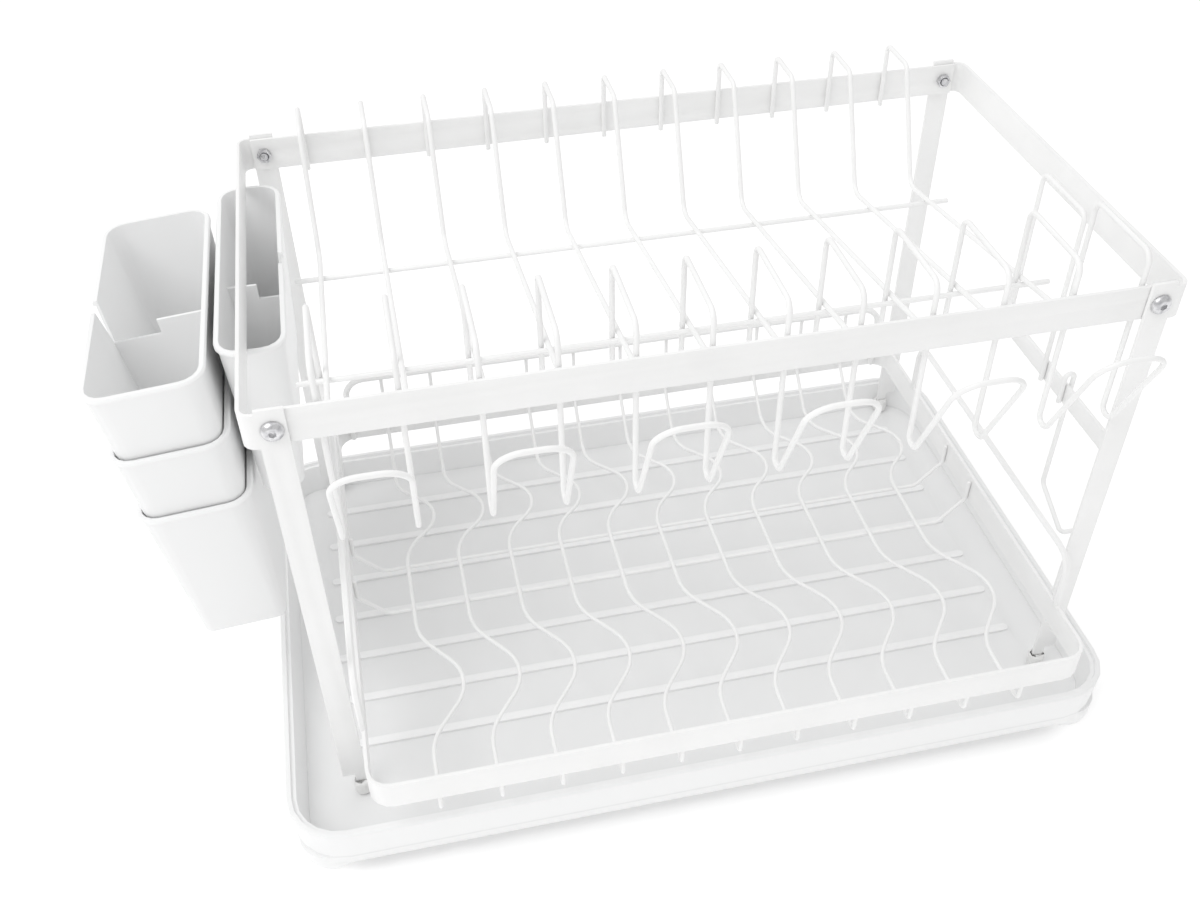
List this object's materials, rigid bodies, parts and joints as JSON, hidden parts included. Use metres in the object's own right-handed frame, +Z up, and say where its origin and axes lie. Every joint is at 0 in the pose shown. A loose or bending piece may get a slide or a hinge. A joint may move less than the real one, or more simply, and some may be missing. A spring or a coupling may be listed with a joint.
{
  "type": "dish drying rack",
  "caption": "Two-tier wire dish rack with cup hooks, a lower basket, nested cutlery cups, a board hook and a drip tray.",
  "frame": {"origin": "bottom centre of the whole object's bounding box, on the plane of the tray's feet", "axes": "+X to the right along the tray's long side, +Y to the back, +Z up"},
  "size_m": [0.5156, 0.309, 0.3038],
  "materials": {
    "powder_coat": "satin white powder coat",
    "cup_plastic": "smooth satin white plastic",
    "tray_plastic": "fine satin white plastic",
    "cap_plastic": "satin white plastic",
    "steel": "bright steel"
  },
  "bodies": {
    "tray": {"drip_tray": "tray_plastic"},
    "frame": {"left_side_frame": "powder_coat", "right_side_frame": "powder_coat", "front_bar": "powder_coat", "rear_bar": "powder_coat", "front_left_screw": "steel", "front_left_nut": "steel", "front_left_leg_cap": "cap_plastic", "front_right_screw": "steel", "front_right_nut": "steel", "front_right_leg_cap": "cap_plastic", "rear_left_screw": "steel", "rear_left_nut": "steel", "rear_left_leg_cap": "cap_plastic", "rear_right_screw": "steel", "rear_right_nut": "steel", "rear_right_leg_cap": "cap_plastic", "dish_wire_01": "powder_coat", "dish_wire_02": "powder_coat", "dish_wire_03": "powder_coat", "dish_wire_04": "powder_coat", "dish_wire_05": "powder_coat", "dish_wire_06": "powder_coat", "dish_wire_07": "powder_coat", "dish_wire_08": "powder_coat", "dish_wire_09": "powder_coat", "dish_wire_10": "powder_coat", "dish_wire_11": "powder_coat", "rear_rod": "powder_coat", "front_rod": "powder_coat", "cup_hook_01": "powder_coat", "cup_hook_02": "powder_coat", "cup_hook_03": "powder_coat", "cup_hook_04": "powder_coat", "cup_hook_05": "powder_coat", "cup_hook_06": "powder_coat", "side_strip": "powder_coat", "end_loop": "powder_coat", "cutlery_cup_inner": "cup_plastic"},
    "basket": {"basket_rim": "powder_coat", "basket_wire_01": "powder_coat", "basket_wire_02": "powder_coat", "basket_wire_03": "powder_coat", "basket_wire_04": "powder_coat", "basket_wire_05": "powder_coat", "basket_wire_06": "powder_coat", "basket_wire_07": "powder_coat", "basket_wire_08": "powder_coat", "basket_wire_09": "powder_coat", "basket_wire_10": "powder_coat", "basket_wire_11": "powder_coat", "basket_rear_rod": "powder_coat", "basket_front_rod": "powder_coat", "basket_back_rail": "powder_coat"},
    "hook": {"board_hook": "powder_coat"},
    "cup_low": {"cutlery_cup_3": "cup_plastic"},
    "cup_mid": {"cutlery_cup_2": "cup_plastic"},
    "cup_top": {"cutlery_cup_1": "cup_plastic"}
  },
  "joints": [
    {"name": "rack_lift", "type": "slide", "parent": "tray", "child": "frame", "axis": [0, 0, 1], "range_m": [0, 0.06]},
    {"name": "basket_pull", "type": "slide", "parent": "frame", "child": "basket", "axis": [0, -1, 0], "range_m": [0, 0.15]},
    {"name": "board_hook_slide", "type": "slide", "parent": "frame", "child": "hook", "axis": [0, 1, 0], "range_m": [-0.018, 0.014]},
    {"name": "low_cup_lift", "type": "slide", "parent": "frame", "child": "cup_low", "axis": [-0.0872, 0, 0.9962], "range_m": [0, 0.06]},
    {"name": "mid_cup_lift", "type": "slide", "parent": "cup_low", "child": "cup_mid", "axis": [-0.0872, 0, 0.9962], "range_m": [0, 0.06]},
    {"name": "top_cup_lift", "type": "slide", "parent": "cup_mid", "child": "cup_top", "axis": [-0.0872, 0, 0.9962], "range_m": [0, 0.06]}
  ]
}
